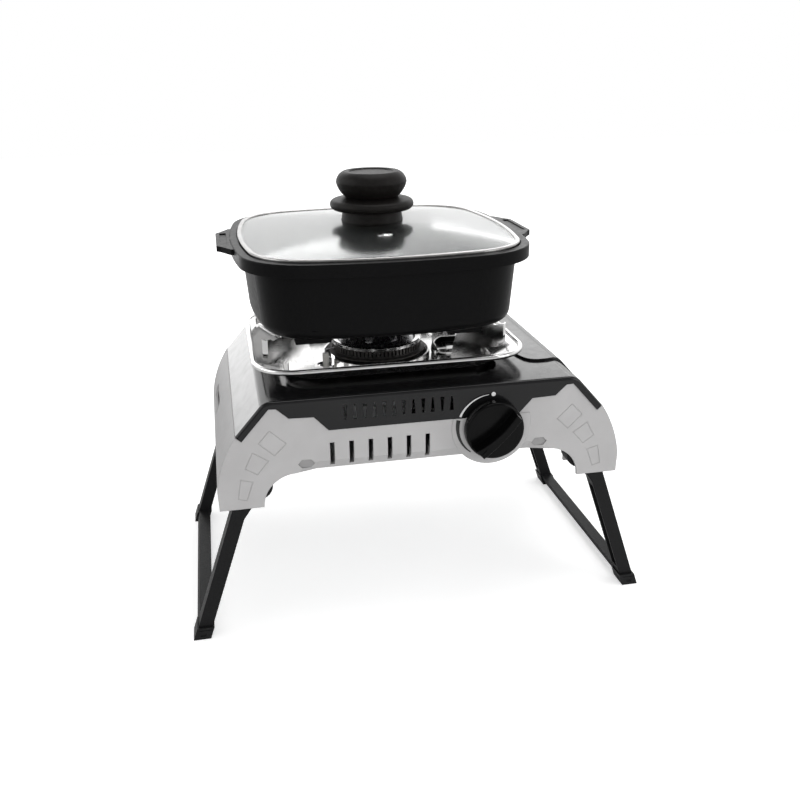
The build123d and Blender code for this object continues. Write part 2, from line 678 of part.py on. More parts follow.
lead = sweep(Plane(origin=lead_points[0], z_dir=(0, 1, 0)) * Circle(1.2), path=lead_path)
save(lead, "ignition_lead")

# Control knob: disc, curved grip ridge with a pointer recess, keyed bore
grip_tilt = 43.0
disc = rod_y(knob_x, knob_z, knob_radius, knob_back - knob_disc, knob_back)
disc = fillet(disc.faces().sort_by(Axis.Y)[0].edges(), 2.2)
grip_end = knob_radius - 1.4
ridge_lines = [
    ThreePointArc((-grip_end, -6.5), (0, -7.5), (grip_end, -4.5)),
    Line((grip_end, -4.5), (grip_end, 4.0)),
    ThreePointArc((grip_end, 4.0), (0, 1.8), (-grip_end, 7.0)),
    Line((-grip_end, 7.0), (-grip_end, -6.5)),
]
knob_turned = Pos(knob_x, knob_z) * Rot(0, 0, grip_tilt)
ridge_plane = Plane(origin=(0, knob_back - 3, 0), x_dir=(1, 0, 0), z_dir=(0, -1, 0))
ridge_rise = knob_reach - (front_y - knob_back) - 3
ridge = extrude(ridge_plane * (knob_turned * make_face(ridge_lines)), amount=ridge_rise, taper=4)
ridge = fillet(ridge.faces().sort_by(Axis.Y)[0].edges(), 1.0)
pointer = knob_turned * Pos(-grip_end + 5.5, 0) * Rectangle(6.0, 1.8)
ridge -= slab(pointer, behind(-knob_reach - 1), behind(-knob_reach + 0.6))
control_knob = disc + ridge
keyed_bore = rod_y(knob_x, knob_z, spindle_radius + running, bore_end, knob_back + 1)
keyed_bore -= block(
    knob_x - 5, knob_x + 5, bore_end - 1, knob_back + 2, knob_z + flat_height + running, knob_z + 9
)
control_knob -= keyed_bore
save(control_knob, "control_knob")

# Folding leg frames: two channelled struts with eyes, one floor bar
strut_points = [
    (strut_x(strut_end_z) + strut_half, strut_end_z),
    (strut_x(leg_height) + strut_half, leg_height),
    (pivot_x + 14.0, pivot_z + 7.0),
    (pivot_x, pivot_z + eye_radius - 1.5),
    (pivot_x - 6.0, pivot_z - 8.0),
    (strut_x(leg_height) - strut_half - 5.0, leg_height + 1.0),
    (strut_x(leg_height - 12) - strut_half, leg_height - 12.0),
    (strut_x(strut_end_z) - strut_half, strut_end_z),
]
bar_half = 5.8
bar_top = 12.5
strut_flange = 2.5


def strut_band(z_low, z_high, left, right):
    """Front-view face that follows a strut, from left to right of its middle line."""
    low = strut_x(z_low)
    high = strut_x(z_high)
    return polygon([(low + left, z_low), (low + right, z_low), (high + right, z_high), (high + left, z_high)])


strut_sketch = polygon(strut_points) + Pos(pivot_x, pivot_z) * Circle(eye_radius)
strut = slab(strut_sketch, behind(strut_front), behind(strut_back))
strut -= rod_y(pivot_x, pivot_z, pin_radius + running, behind(0), behind(30))
channel_face = strut_band(bar_top + 6, leg_height - 18, -strut_half - 2, 1.0)
strut -= slab(channel_face, behind(strut_front + strut_flange), behind(strut_back - strut_flange))
bar_face = strut_band(strut_end_z, bar_top, -bar_half, bar_half)
right_leg = strut + rear_copy(strut) + slab(bar_face, behind(strut_back - 1), rear_y - strut_back + 1)
save(right_leg, "leg_frame_right")
save(mirror(right_leg, about=Plane.YZ), "leg_frame_left")

# Foot caps around the lower strut ends, and the four leg pins
cap_half = strut_half + 1.3
cap_top = bar_top - 1.0
cap_gap = 0.1
cap_front = behind(strut_front - 2.5)
cap_back = behind(strut_back + 1.5)
cap = slab(strut_band(0, cap_top, -cap_half, cap_half), cap_front, cap_back)
cap -= slab(offset(polygon(strut_points), cap_gap), behind(strut_front - cap_gap), behind(strut_back + 5))
bar_slot = strut_band(strut_end_z - cap_gap, cap_top + 1, -bar_half - cap_gap, bar_half + cap_gap)
cap -= slab(bar_slot, behind(strut_back - 1), behind(strut_back + 5))
cap -= slab(strut_band(8.6, 9.4, -5.5, 5.5), behind(0), cap_front + 0.6)
cap -= slab(strut_band(3.0, 6.0, -2.6, 2.6), behind(0), cap_front + 0.9)
right_caps = [cap, rear_copy(cap)]
save(Compound(children=right_caps), "foot_caps_right")
save(Compound(children=[mirror(piece, about=Plane.YZ) for piece in right_caps]), "foot_caps_left")
leg_pin = rod_y(pivot_x, pivot_z, pin_radius, behind(1.2), behind(cheek_high))
save(four_fixings(leg_pin), "leg_pins")

# Drip tray: pressed dish with a round bead rim and a collar round the burner
tray_corner = 40.0
bead = 5.0
rim_top = tray_floor + 24.0
dish_low = (tray_half_x - 30.0, tray_half_y - 14.0, tray_corner - 10.0, tray_floor)
dish_mid = (tray_half_x - 27.0, tray_half_y - 11.5, tray_corner - 8.0, tray_floor + 11.5)
dish_top = (tray_half_x - bead / 2, tray_half_y - bead / 2, tray_corner - bead / 2, rim_top - bead / 2)


def inside(section, lift):
    return (section[0] - sheet, section[1] - sheet, section[2] - sheet, section[3] + lift)


dish = frustum(tray_x, burner_y, dish_low, dish_mid) + frustum(tray_x, burner_y, dish_mid, dish_top)
dish -= frustum(tray_x, burner_y, inside(dish_low, sheet), inside(dish_mid, 0.6))
dish -= frustum(tray_x, burner_y, inside(dish_mid, 0.6), inside(dish_top, 0.6))
tray_face = Pos(tray_x, burner_y) * RectangleRounded(2 * tray_half_x, 2 * tray_half_y, tray_corner)
rim = raised(tray_face, rim_top - bead, rim_top)
rim -= raised(offset(tray_face, -bead), rim_top - bead - 1, rim_top + 1)
rim = fillet(rim.edges(), bead / 2 - 0.1)
drip_tray = dish + rim
collar = rod_z(burner_x, burner_y, burner_hole + 2.0, tray_floor, tray_floor + 5)
drip_tray += collar - rod_z(burner_x, burner_y, burner_hole, tray_floor - 1, tray_floor + 9)
blister_x = burner_x + burner_hole + 13.0
blister_y = burner_y - 16.0
blister_z = tray_floor + 5.0
blister_radius = 12.0
blister_length = 14.0


def blister(radius):
    body = Pos(blister_x, blister_y, blister_z) * Sphere(radius)
    body += Pos(blister_x + blister_length, blister_y, blister_z) * Sphere(radius)
    body += along((blister_x, blister_y, blister_z), (1, 0, 0), radius, blister_length)
    return body & raised(tray_face, tray_floor, rim_top + 20)


drip_tray += blister(blister_radius)
drip_tray -= blister(blister_radius - sheet)
drip_tray -= burner_opening

# Pan supports: four folded fins that point at the burner, each on a riveted foot
fin_out_x = tray_half_x - 16.0
fin_out_y = tray_half_y - 39.0
fin_reach = math.hypot(fin_out_x, fin_out_y)
fin_angle = math.degrees(math.atan2(fin_out_y, fin_out_x))
fin_sheet = 1.2
fin_foot = tray_floor + sheet
pan_rest = tray_floor + 39.5
fin_lines = [
    Polyline((-50, fin_foot), (-21, fin_foot), (-21, tray_floor + 15), (0, tray_floor + 19.5)),
    Polyline((0, tray_floor + 19.5), (0, pan_rest + 1.4), (-4, pan_rest + 1.4)),
    ThreePointArc((-4, pan_rest + 1.4), (-7.5, pan_rest - 0.4), (-11, pan_rest + 1.0)),
    Polyline((-11, pan_rest + 1.0), (-14.5, pan_rest + 1.0), (-16, pan_rest + 5), (-21, pan_rest + 5)),
    Polyline((-21, pan_rest + 5), (-23, pan_rest), (-39, pan_rest)),
    ThreePointArc((-39, pan_rest), (-45.5, tray_floor + 25.5), (-50, fin_foot)),
]
fin_plane = Plane(origin=(0, fin_sheet / 2, 0), x_dir=(1, 0, 0), z_dir=(0, -1, 0))
fin = extrude(fin_plane * make_face(fin_lines), amount=fin_sheet)
fin += block(-fin_sheet, 0, -fin_sheet / 2, 8, tray_floor + 20.5, pan_rest + 0.4)
fin += block(-46, -28, -fin_sheet / 2, 12, fin_foot, fin_foot + fin_sheet)
rivet_back = -37.0
rivet_side = 7.0
rivet_radius = 1.6
rivet_hole = rod_z(rivet_back, rivet_side, rivet_radius + running, tray_floor - 2, fin_foot + 3)
fin -= rivet_hole
rivet = rod_z(rivet_back, rivet_side, 3.0, fin_foot + fin_sheet, fin_foot + fin_sheet + 1.2)
rivet += rod_z(rivet_back, rivet_side, rivet_radius, tray_floor, fin_foot + fin_sheet + 0.5)
front_right = Pos(burner_x, burner_y, 0) * Rot(0, 0, -fin_angle) * Pos(fin_reach, 0, 0)
across = Plane.YZ.offset(burner_x)
lengthwise = Plane.XZ.offset(-burner_y)


def four_corners(shape):
    placed = front_right * shape
    pair = [placed, mirror(placed, about=across)]
    return pair + [mirror(piece, about=lengthwise) for piece in pair]


for hole in four_corners(rivet_hole):
    drip_tray -= hole
save(drip_tray, "drip_tray")
save(Compound(children=four_corners(fin)), "pan_supports")
save(Compound(children=four_corners(rivet)), "support_rivets")

# Lidded pan: bowed plan outline, tapered wall, four feet, lipped rim, side handles
pan_bow = 14.0
rim_corner = 62.0
rim_z = pan_rest + 80.0
rim_height = 11.0
rim_overhang = 14.7
body_z = pan_rest + 11.4
taper_out = 4.4
pan_wall = 3.5
bottom_round = 11.0
rim_under = rim_z - rim_height
body_rise = rim_under - body_z


def bowed(half_x, half_y, bow, corner):
    """Plan outline with four bowed sides and round corners, about the middle of the pan."""
    side_x = half_x - bow
    side_y = half_y - bow
    lines = [
        ThreePointArc((-side_x, -side_y), (0, -half_y), (side_x, -side_y)),
        ThreePointArc((side_x, -side_y), (half_x, 0), (side_x, side_y)),
        ThreePointArc((side_x, side_y), (0, half_y), (-side_x, side_y)),
        ThreePointArc((-side_x, side_y), (-half_x, 0), (-side_x, -side_y)),
    ]
    face = make_face(lines)
    return Pos(pan_x, burner_y) * fillet(face.vertices(), corner)


def pan_outline(grow):
    """Plan outline of the pan rim, grown all round."""
    return bowed(rim_half_x + grow, rim_half_y + grow, pan_bow, rim_corner + grow)


def tapered(inset, z_low, z_high, radius):
    """A block inset from the rim that widens upwards like the pan's wall, with a round lower edge."""
    widened = taper_out * (z_high - z_low) / body_rise - inset
    low_face = Pos(0, 0, z_low) * pan_outline(-inset)
    high_face = Pos(0, 0, z_high) * pan_outline(widened)
    body = loft([low_face, high_face], ruled=True)
    return fillet(body.faces().sort_by(Axis.Z)[0].edges(), radius)


pan = tapered(rim_overhang, body_z, rim_under, bottom_round)
foot_half_x = tray_half_x - 41.0
foot_half_y = tray_half_y - 24.0
foot_length = 50.0
foot_width = 30.5
foot_points = [(foot_half_x - foot_width, pan_rest), (foot_half_x, pan_rest), (foot_half_x + 3, body_z + 1)]
foot_points.append((foot_half_x - foot_width - 6, body_z + 1))
foot = slab(polygon(foot_points), -foot_half_y, foot_length - foot_half_y)
feet = both_sides(foot + mirror(foot, about=Plane.XZ))
pan += Pos(pan_x, burner_y, 0) * feet
pan_rim = raised(pan_outline(0), rim_under, rim_z)
pan_rim = fillet(pan_rim.faces().sort_by(Axis.Z)[-1].edges(), 1.0)
handle_out = 12.0
handle_top = rim_z - 0.6
handle_thick = 5.0
handle_points = [(-12.0, -50.0), (0, -48.0), (handle_out - 4.0, -34.0), (handle_out, -29.0)]
handle_points += [(handle_out, 29.0), (handle_out - 4.0, 34.0), (0, 48.0), (-12.0, 50.0)]
handle = raised(polygon(handle_points), handle_top - handle_thick, handle_top)
recess = Pos((handle_out - 1.0) / 2, 0) * Rectangle(handle_out / 2, 54.0)
handle -= raised(recess, handle_top - 1.0, handle_top + 1.0)
handle = Pos(rim_half_x, 0, 0) * handle
pan_rim += Pos(pan_x, burner_y, 0) * both_sides(handle)
pan += pan_rim
lid_seat = rim_z - 2.5
lid_inset = 7.5
lid_play = 0.9
pan -= raised(pan_outline(lid_play - lid_inset), lid_seat, rim_z + 1)
floor_z = body_z + 3.6
pan -= tapered(rim_overhang + pan_wall, floor_z, rim_z + 5, bottom_round - pan_wall)
save(pan, "pan")

# Glass lid: domed pane in a steel channel rim, vent, knob on a collar
channel_height = 5.0
channel_width = 4.0
glass_low = lid_seat + 1.0
glass_thick = 3.0
glass_high = glass_low + glass_thick
dome_rise = 10.0
dome_steps = (1.0, 0.8, 0.55, 0.28)
glass_inset = 1.5
dome_half_x = rim_half_x - lid_inset - channel_width - 1.0
dome_half_y = rim_half_y - lid_inset - channel_width - 1.0
dome_corner = rim_corner - lid_inset - channel_width - 1.0


def dome_level(share):
    """Height of the dome above its edge, where share is the distance from the middle."""
    return dome_rise * (1 - share * share)


def dome(z_low):
    sections = []
    for share in dome_steps:
        face = bowed(dome_half_x * share, dome_half_y * share, pan_bow * share, dome_corner * share)
        sections.append(Pos(0, 0, z_low + dome_level(share)) * face)
    return loft(sections)


glass = raised(pan_outline(-lid_inset - glass_inset), glass_low, glass_high)
glass += dome(glass_high)
glass -= dome(glass_low)
glass_top = glass_high + dome_level(dome_steps[-1])
glass_under = glass_top - glass_thick
stud_radius = 2.5
vent_forward = 64.0
vent_y = burner_y - vent_forward
vent_radius = 4.0
vent_flange = 6.8
glass -= rod_z(pan_x, burner_y, stud_radius + 0.7, glass_low, glass_top + 1)
vent_seat = glass_high + dome_level(vent_forward / dome_half_y) - 0.5
glass -= rod_z(pan_x, vent_y, vent_radius + running, glass_low, glass_top + 1)
glass -= rod_z(pan_x, vent_y, vent_flange + 0.3, vent_seat, glass_top + 1)
save(glass, "lid_glass")
channel = raised(pan_outline(-lid_inset), lid_seat, lid_seat + channel_height)
channel -= raised(pan_outline(-lid_inset - channel_width), lid_seat - 1, lid_seat + channel_height + 1)
channel = fillet(channel.faces().sort_by(Axis.Z)[-1].edges(), 1.2)
channel -= raised(pan_outline(0.1 - lid_inset - glass_inset), glass_low, glass_high)
save(channel, "lid_rim")
vent_low = vent_seat - glass_thick - 1.5
vent_points = [(1.6, vent_low), (vent_radius, vent_low), (vent_radius, vent_seat), (vent_flange, vent_seat)]
vent_points += [(vent_flange, vent_seat + 0.7), (4.6, vent_seat + 1.6), (1.6, vent_seat + 1.0)]
save(turned(vent_points, pan_x, vent_y), "steam_vent")
collar_radius = 28.5
collar_height = 10.3
guard_radius = 38.5
guard_thick = 9.0
guard_low = glass_top + collar_height
guard_high = guard_low + guard_thick
knob_seat = guard_high + 1.8
lid_knob_height = 23.0
lid_knob_top = knob_seat + lid_knob_height
seat_radius = 23.5
bulge_radius = 32.3
stud_hole = stud_radius + running
guard_edge = guard_radius - 4.0
collar_lines = [
    Polyline((stud_hole, knob_seat), (stud_hole, glass_top), (collar_radius, glass_top)),
    Polyline((collar_radius, glass_top), (collar_radius - 1.5, guard_low - 1), (guard_edge, guard_low)),
    ThreePointArc((guard_edge, guard_low), (guard_radius, guard_low + 4.5), (guard_edge, guard_high)),
    Polyline((guard_edge, guard_high), (seat_radius + 0.6, knob_seat), (stud_hole, knob_seat)),
]
lid_collar = revolve(Plane.XZ * make_face(collar_lines), Axis.Z)
save(Pos(pan_x, burner_y, 0) * lid_collar, "lid_knob_collar")
stud_end = knob_seat + 14.0
knob_widest = (bulge_radius, lid_knob_top - 9.5)
knob_edge = (bulge_radius - 7, lid_knob_top)
knob_lines = [
    Polyline((0, stud_end), (stud_hole, stud_end), (stud_hole, knob_seat), (seat_radius, knob_seat)),
    ThreePointArc((seat_radius, knob_seat), (seat_radius + 6, knob_seat + 6.5), knob_widest),
    ThreePointArc(knob_widest, (bulge_radius - 1.6, lid_knob_top - 4.5), knob_edge),
    Polyline(knob_edge, (21, lid_knob_top), (19.5, lid_knob_top - 1.2)),
    Polyline((19.5, lid_knob_top - 1.2), (0, lid_knob_top - 1.2), (0, stud_end)),
]
lid_knob = revolve(Plane.XZ * make_face(knob_lines), Axis.Z)
save(Pos(pan_x, burner_y, 0) * lid_knob, "lid_knob")
washer_radius = 14.0
washer_low = glass_under - 2.0
washer_points = [(stud_hole, washer_low), (washer_radius, washer_low), (washer_radius, glass_under)]
washer_points.append((stud_hole, glass_under))
save(turned(washer_points, pan_x, burner_y), "lid_washer")
stud_points = [(0, washer_low - 3), (6, washer_low - 3), (6, washer_low), (stud_radius, washer_low)]
stud_points += [(stud_radius, stud_end - 2), (0, stud_end - 2)]
save(turned(stud_points, pan_x, burner_y), "lid_knob_screw")
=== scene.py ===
import json
import math

import bmesh
import bpy
from mathutils import Matrix, Vector


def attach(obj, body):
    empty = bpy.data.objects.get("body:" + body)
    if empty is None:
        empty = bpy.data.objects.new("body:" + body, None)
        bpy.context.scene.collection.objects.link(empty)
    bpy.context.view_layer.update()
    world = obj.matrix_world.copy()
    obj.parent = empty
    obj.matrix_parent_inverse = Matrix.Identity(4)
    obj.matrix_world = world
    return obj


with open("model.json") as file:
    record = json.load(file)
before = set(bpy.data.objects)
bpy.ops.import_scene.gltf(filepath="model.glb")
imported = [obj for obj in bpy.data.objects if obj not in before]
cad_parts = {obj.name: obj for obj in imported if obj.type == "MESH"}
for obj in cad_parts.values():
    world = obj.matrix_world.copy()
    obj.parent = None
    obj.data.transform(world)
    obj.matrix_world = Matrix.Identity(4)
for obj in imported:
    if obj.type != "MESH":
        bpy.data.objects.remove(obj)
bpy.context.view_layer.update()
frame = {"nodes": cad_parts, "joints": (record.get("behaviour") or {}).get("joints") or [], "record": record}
nodes = frame["nodes"]
slot_of = {part["node"]: part["material_slot"] for part in frame["record"]["subparts"]}
joint_of = {joint["name"]: joint for joint in frame["joints"]}

millimetres_per_metre = 1000.0
white = (1, 1, 1, 1)

# Noise lies mostly between these two values
noise_low = 0.3
noise_high = 0.7


# Material building blocks
class Finish:
    """One procedural material, built step by step on its own node tree."""

    def __init__(self, name, metallic=0.0):
        self.material = bpy.data.materials.new(name)
        self.material.use_nodes = True
        self.tree = self.material.node_tree
        self.shader = self.tree.nodes["Principled BSDF"]
        self.shader.inputs["Metallic"].default_value = metallic
        self.place = self.tree.nodes.new("ShaderNodeTexCoord").outputs["Object"]
        self.normal = None

    def add(self, kind):
        return self.tree.nodes.new("ShaderNode" + kind)

    def join(self, source, target):
        self.tree.links.new(source, target)

    def set(self, **values):
        for socket, value in values.items():
            self.shader.inputs[socket.replace("_", " ")].default_value = value

    def noise(self, size_mm, detail=3.0, stretch=(1, 1, 1)):
        """Noise whose features are about size_mm wide, stretched along the axes."""
        mapping = self.add("Mapping")
        mapping.inputs["Scale"].default_value = stretch
        self.join(self.place, mapping.inputs["Vector"])
        noise = self.add("TexNoise")
        noise.inputs["Scale"].default_value = millimetres_per_metre / size_mm
        noise.inputs["Detail"].default_value = detail
        self.join(mapping.outputs["Vector"], noise.inputs["Vector"])
        return noise.outputs["Fac"]

    def tone(self, source, dark, light):
        ramp = self.add("ValToRGB")
        low_end, high_end = ramp.color_ramp.elements
        low_end.position = noise_low
        low_end.color = (*dark, 1)
        high_end.position = noise_high
        high_end.color = (*light, 1)
        self.join(source, ramp.inputs["Fac"])
        self.join(ramp.outputs["Color"], self.shader.inputs["Base Color"])

    def roughness(self, source, low, high):
        result = span(self.tree, source, low=noise_low, high=noise_high, to_low=low, to_high=high)
        self.join(result, self.shader.inputs["Roughness"])

    def soft_edges(self, radius_mm):
        """Rounds the shading of sharp edges as a real pressing or moulding has them."""
        bevel = self.add("Bevel")
        bevel.samples = 4
        bevel.inputs["Radius"].default_value = radius_mm / millimetres_per_metre
        self.normal = bevel.outputs["Normal"]
        self.join(self.normal, self.shader.inputs["Normal"])

    def bump(self, source, depth_mm, strength):
        bump = self.add("Bump")
        bump.inputs["Strength"].default_value = strength
        bump.inputs["Distance"].default_value = depth_mm / millimetres_per_metre
        self.join(source, bump.inputs["Height"])
        if self.normal is not None:
            self.join(self.normal, bump.inputs["Normal"])
        self.normal = bump.outputs["Normal"]
        self.join(self.normal, self.shader.inputs["Normal"])


def span(tree, source, low, high, to_low, to_high):
    """Maps a value from low..high to to_low..to_high."""
    node = tree.nodes.new("ShaderNodeMapRange")
    node.inputs["From Min"].default_value = low
    node.inputs["From Max"].default_value = high
    node.inputs["To Min"].default_value = to_low
    node.inputs["To Max"].default_value = to_high
    tree.links.new(source, node.inputs["Value"])
    return node.outputs["Result"]


def product(tree, first, second):
    node = tree.nodes.new("ShaderNodeMath")
    node.operation = "MULTIPLY"
    tree.links.new(first, node.inputs[0])
    tree.links.new(second, node.inputs[1])
    return node.outputs["Value"]


def ray_share(tree, kinds):
    """1 for rays of the named kinds, 0 for all other rays."""
    path = tree.nodes.new("ShaderNodeLightPath")
    share = path.outputs[kinds[0]]
    for kind in kinds[1:]:
        larger = tree.nodes.new("ShaderNodeMath")
        larger.operation = "MAXIMUM"
        tree.links.new(share, larger.inputs[0])
        tree.links.new(path.outputs[kind], larger.inputs[1])
        share = larger.outputs["Value"]
    return share


# Plastics and coats
def grey_moulding():
    finish = Finish("grey_moulding")
    finish.tone(finish.noise(size_mm=30), dark=(0.440, 0.434, 0.435), light=(0.475, 0.470, 0.471))
    finish.roughness(finish.noise(size_mm=6), low=0.42, high=0.52)
    finish.soft_edges(radius_mm=0.8)
    finish.bump(finish.noise(size_mm=0.7, detail=2.0), depth_mm=0.05, strength=0.35)
    return finish.material


# Hex screw covers: a grey darker than the housing, most of it painted shade standing in for the shade in
# their recessed pockets
def pocket_shade_plastic():
    finish = Finish("pocket_shade_plastic")
    finish.tone(finish.noise(size_mm=12), dark=(0.270, 0.266, 0.267), light=(0.310, 0.306, 0.307))
    finish.roughness(finish.noise(size_mm=4), low=0.45, high=0.55)
    finish.soft_edges(radius_mm=0.8)
    return finish.material


def black_enamel():
    finish = Finish("black_enamel")
    finish.tone(finish.noise(size_mm=25), dark=(0.005, 0.005, 0.0055), light=(0.008, 0.008, 0.0085))
    finish.roughness(finish.noise(size_mm=9), low=0.15, high=0.22)
    finish.set(Specular_IOR_Level=0.28, Coat_Weight=0.1, Coat_Roughness=0.08)
    finish.soft_edges(radius_mm=0.6)
    finish.bump(finish.noise(size_mm=3.5, detail=1.5), depth_mm=0.02, strength=0.25)
    return finish.material


def powder_coat():
    finish = Finish("powder_coat")
    grain = finish.noise(size_mm=1.2, detail=4.0)
    finish.tone(grain, dark=(0.007, 0.007, 0.0075), light=(0.012, 0.012, 0.0125))
    finish.set(Specular_IOR_Level=0.15)
    finish.roughness(finish.noise(size_mm=2), low=0.40, high=0.55)
    finish.soft_edges(radius_mm=0.6)
    finish.bump(finish.noise(size_mm=0.9), depth_mm=0.08, strength=0.45)
    return finish.material


def black_plastic():
    finish = Finish("black_plastic")
    finish.tone(finish.noise(size_mm=8), dark=(0.007, 0.007, 0.0075), light=(0.012, 0.012, 0.0125))
    finish.roughness(finish.noise(size_mm=3), low=0.36, high=0.5)
    finish.set(Specular_IOR_Level=0.2)
    finish.soft_edges(radius_mm=0.5)
    finish.bump(finish.noise(size_mm=0.6, detail=2.0), depth_mm=0.04, strength=0.3)
    return finish.material


def knob_plastic():
    finish = Finish("knob_plastic")
    finish.tone(finish.noise(size_mm=14), dark=(0.0015, 0.0015, 0.0016), light=(0.0026, 0.0026, 0.0027))
    finish.roughness(finish.noise(size_mm=5), low=0.17, high=0.27)
    finish.set(Specular_IOR_Level=0.12)
    finish.soft_edges(radius_mm=0.5)
    finish.bump(finish.noise(size_mm=2.0, detail=2.0), depth_mm=0.015, strength=0.2)
    return finish.material


def phenolic():
    finish = Finish("phenolic")
    grain = finish.noise(size_mm=3, detail=5.0)
    finish.tone(grain, dark=(0.006, 0.0052, 0.0048), light=(0.010, 0.0088, 0.0082))
    finish.roughness(finish.noise(size_mm=2.5), low=0.42, high=0.52)
    finish.set(Specular_IOR_Level=0.14)
    finish.soft_edges(radius_mm=0.6)
    finish.bump(finish.noise(size_mm=0.8), depth_mm=0.04, strength=0.3)
    return finish.material


def pan_coat():
    finish = Finish("pan_coat")
    grain = finish.noise(size_mm=1.0, detail=4.0)
    finish.tone(grain, dark=(0.003, 0.003, 0.0032), light=(0.005, 0.005, 0.0052))
    finish.roughness(finish.noise(size_mm=4), low=0.28, high=0.36)
    finish.set(Specular_IOR_Level=0.06)
    finish.soft_edges(radius_mm=0.8)
    finish.bump(finish.noise(size_mm=0.8, detail=2.0), depth_mm=0.03, strength=0.35)
    return finish.material


def silicone():
    finish = Finish("silicone")
    finish.tone(finish.noise(size_mm=4), dark=(0.022, 0.022, 0.022), light=(0.036, 0.036, 0.036))
    finish.roughness(finish.noise(size_mm=2), low=0.55, high=0.7)
    return finish.material


def lead_cover():
    finish = Finish("lead_cover")
    finish.tone(finish.noise(size_mm=5), dark=(0.44, 0.44, 0.44), light=(0.54, 0.54, 0.54))
    finish.roughness(finish.noise(size_mm=2), low=0.4, high=0.55)
    return finish.material


# Metals, ceramic and glass
def bright_chrome():
    finish = Finish("bright_chrome", metallic=1.0)
    finish.tone(finish.noise(size_mm=20), dark=(0.74, 0.735, 0.73), light=(0.82, 0.82, 0.82))
    finish.roughness(finish.noise(size_mm=7, detail=4.0), low=0.09, high=0.18)
    finish.soft_edges(radius_mm=0.4)
    finish.bump(finish.noise(size_mm=14, detail=1.0), depth_mm=0.08, strength=0.2)
    return finish.material


def plain_steel():
    finish = Finish("plain_steel", metallic=1.0)
    finish.tone(finish.noise(size_mm=9), dark=(0.50, 0.50, 0.51), light=(0.62, 0.62, 0.63))
    finish.roughness(finish.noise(size_mm=2.5), low=0.18, high=0.34)
    finish.soft_edges(radius_mm=0.3)
    finish.bump(finish.noise(size_mm=0.6), depth_mm=0.02, strength=0.2)
    return finish.material


def rim_steel():
    finish = Finish("rim_steel", metallic=1.0)
    finish.tone(finish.noise(size_mm=12), dark=(0.34, 0.335, 0.33), light=(0.44, 0.435, 0.43))
    finish.roughness(finish.noise(size_mm=3), low=0.16, high=0.26)
    finish.soft_edges(radius_mm=0.6)
    return finish.material


def galvanised():
    finish = Finish("galvanised", metallic=1.0)
    finish.tone(finish.noise(size_mm=11, detail=0.5), dark=(0.47, 0.48, 0.49), light=(0.57, 0.58, 0.59))
    finish.roughness(finish.noise(size_mm=11, detail=1.0), low=0.30, high=0.48)
    finish.soft_edges(radius_mm=0.3)
    finish.bump(finish.noise(size_mm=1.5), depth_mm=0.02, strength=0.2)
    return finish.material


def burner_cast():
    finish = Finish("burner_cast", metallic=0.6)
    soot = finish.noise(size_mm=6, detail=5.0)
    finish.tone(soot, dark=(0.035, 0.034, 0.033), light=(0.085, 0.080, 0.076))
    finish.roughness(finish.noise(size_mm=4), low=0.38, high=0.58)
    finish.soft_edges(radius_mm=0.4)
    finish.bump(finish.noise(size_mm=0.9), depth_mm=0.06, strength=0.4)
    return finish.material


def valve_cast():
    finish = Finish("valve_cast", metallic=1.0)
    finish.tone(finish.noise(size_mm=5, detail=4.0), dark=(0.40, 0.40, 0.41), light=(0.52, 0.52, 0.53))
    finish.roughness(finish.noise(size_mm=2), low=0.38, high=0.55)
    finish.soft_edges(radius_mm=0.5)
    finish.bump(finish.noise(size_mm=0.8), depth_mm=0.05, strength=0.4)
    return finish.material


def brass():
    finish = Finish("brass", metallic=1.0)
    finish.tone(finish.noise(size_mm=4), dark=(0.52, 0.38, 0.16), light=(0.68, 0.52, 0.25))
    finish.roughness(finish.noise(size_mm=1.2, stretch=(1, 8, 1)), low=0.16, high=0.32)
    finish.soft_edges(radius_mm=0.2)
    return finish.material


def ceramic():
    finish = Finish("ceramic")
    finish.tone(finish.noise(size_mm=3), dark=(0.74, 0.73, 0.69), light=(0.82, 0.81, 0.77))
    finish.roughness(finish.noise(size_mm=2), low=0.12, high=0.22)
    return finish.material


def clear_glass():
    finish = Finish("clear_glass")
    finish.tone(finish.noise(size_mm=40), dark=(0.86, 0.90, 0.89), light=(0.92, 0.95, 0.94))
    finish.roughness(finish.noise(size_mm=25, detail=4.0), low=0.13, high=0.18)
    finish.set(IOR=1.5, Transmission_Weight=1.0)
    return finish.material


# Each node has the finish of its slot, and a few have one of their own
finishes = {
    "grey_moulding": grey_moulding(),
    "black_enamel": black_enamel(),
    "powder_coat": powder_coat(),
    "black_plastic": black_plastic(),
    "knob_plastic": knob_plastic(),
    "bright_chrome": bright_chrome(),
    "steel": plain_steel(),
    "galvanised": galvanised(),
    "burner_cast": burner_cast(),
    "valve_cast": valve_cast(),
    "brass": brass(),
    "ceramic": ceramic(),
    "pan_coat": pan_coat(),
    "clear_glass": clear_glass(),
    "silicone": silicone(),
    "lead_cover": lead_cover(),
}
phenolic_black = phenolic()
own_finish = {
    "lid_knob": phenolic_black,
    "lid_knob_collar": phenolic_black,
    "lid_rim": rim_steel(),
    # screw covers take the darker grey with the painted pocket shade
    "screw_covers": pocket_shade_plastic(),
}
for name, node in nodes.items():
    node.data.materials.clear()
    node.data.materials.append(own_finish.get(name, finishes[slot_of[name]]))

# Printed marks round the control knob: a dot and two tapered arcs
knob_x, front_y, knob_z = joint_of["knob_turn"]["pos_m"]
cover_sheet = 0.001
boss_proud = 0.001
skirt_face = front_y - cover_sheet
boss_face = front_y - boss_proud
ink_thick = 0.00012
dot_aside = 0.0010
dot_above = 0.0298
dot_radius = 0.0019
dot_end_share = 0.02

# Corners of a print's cross-section, and its sides as pairs of them
front_inner, front_outer, back_inner, back_outer = range(4)
print_sides = (
    (front_inner, front_outer),
    (back_outer, back_inner),
    (back_inner, front_inner),
    (front_outer, back_outer),
)


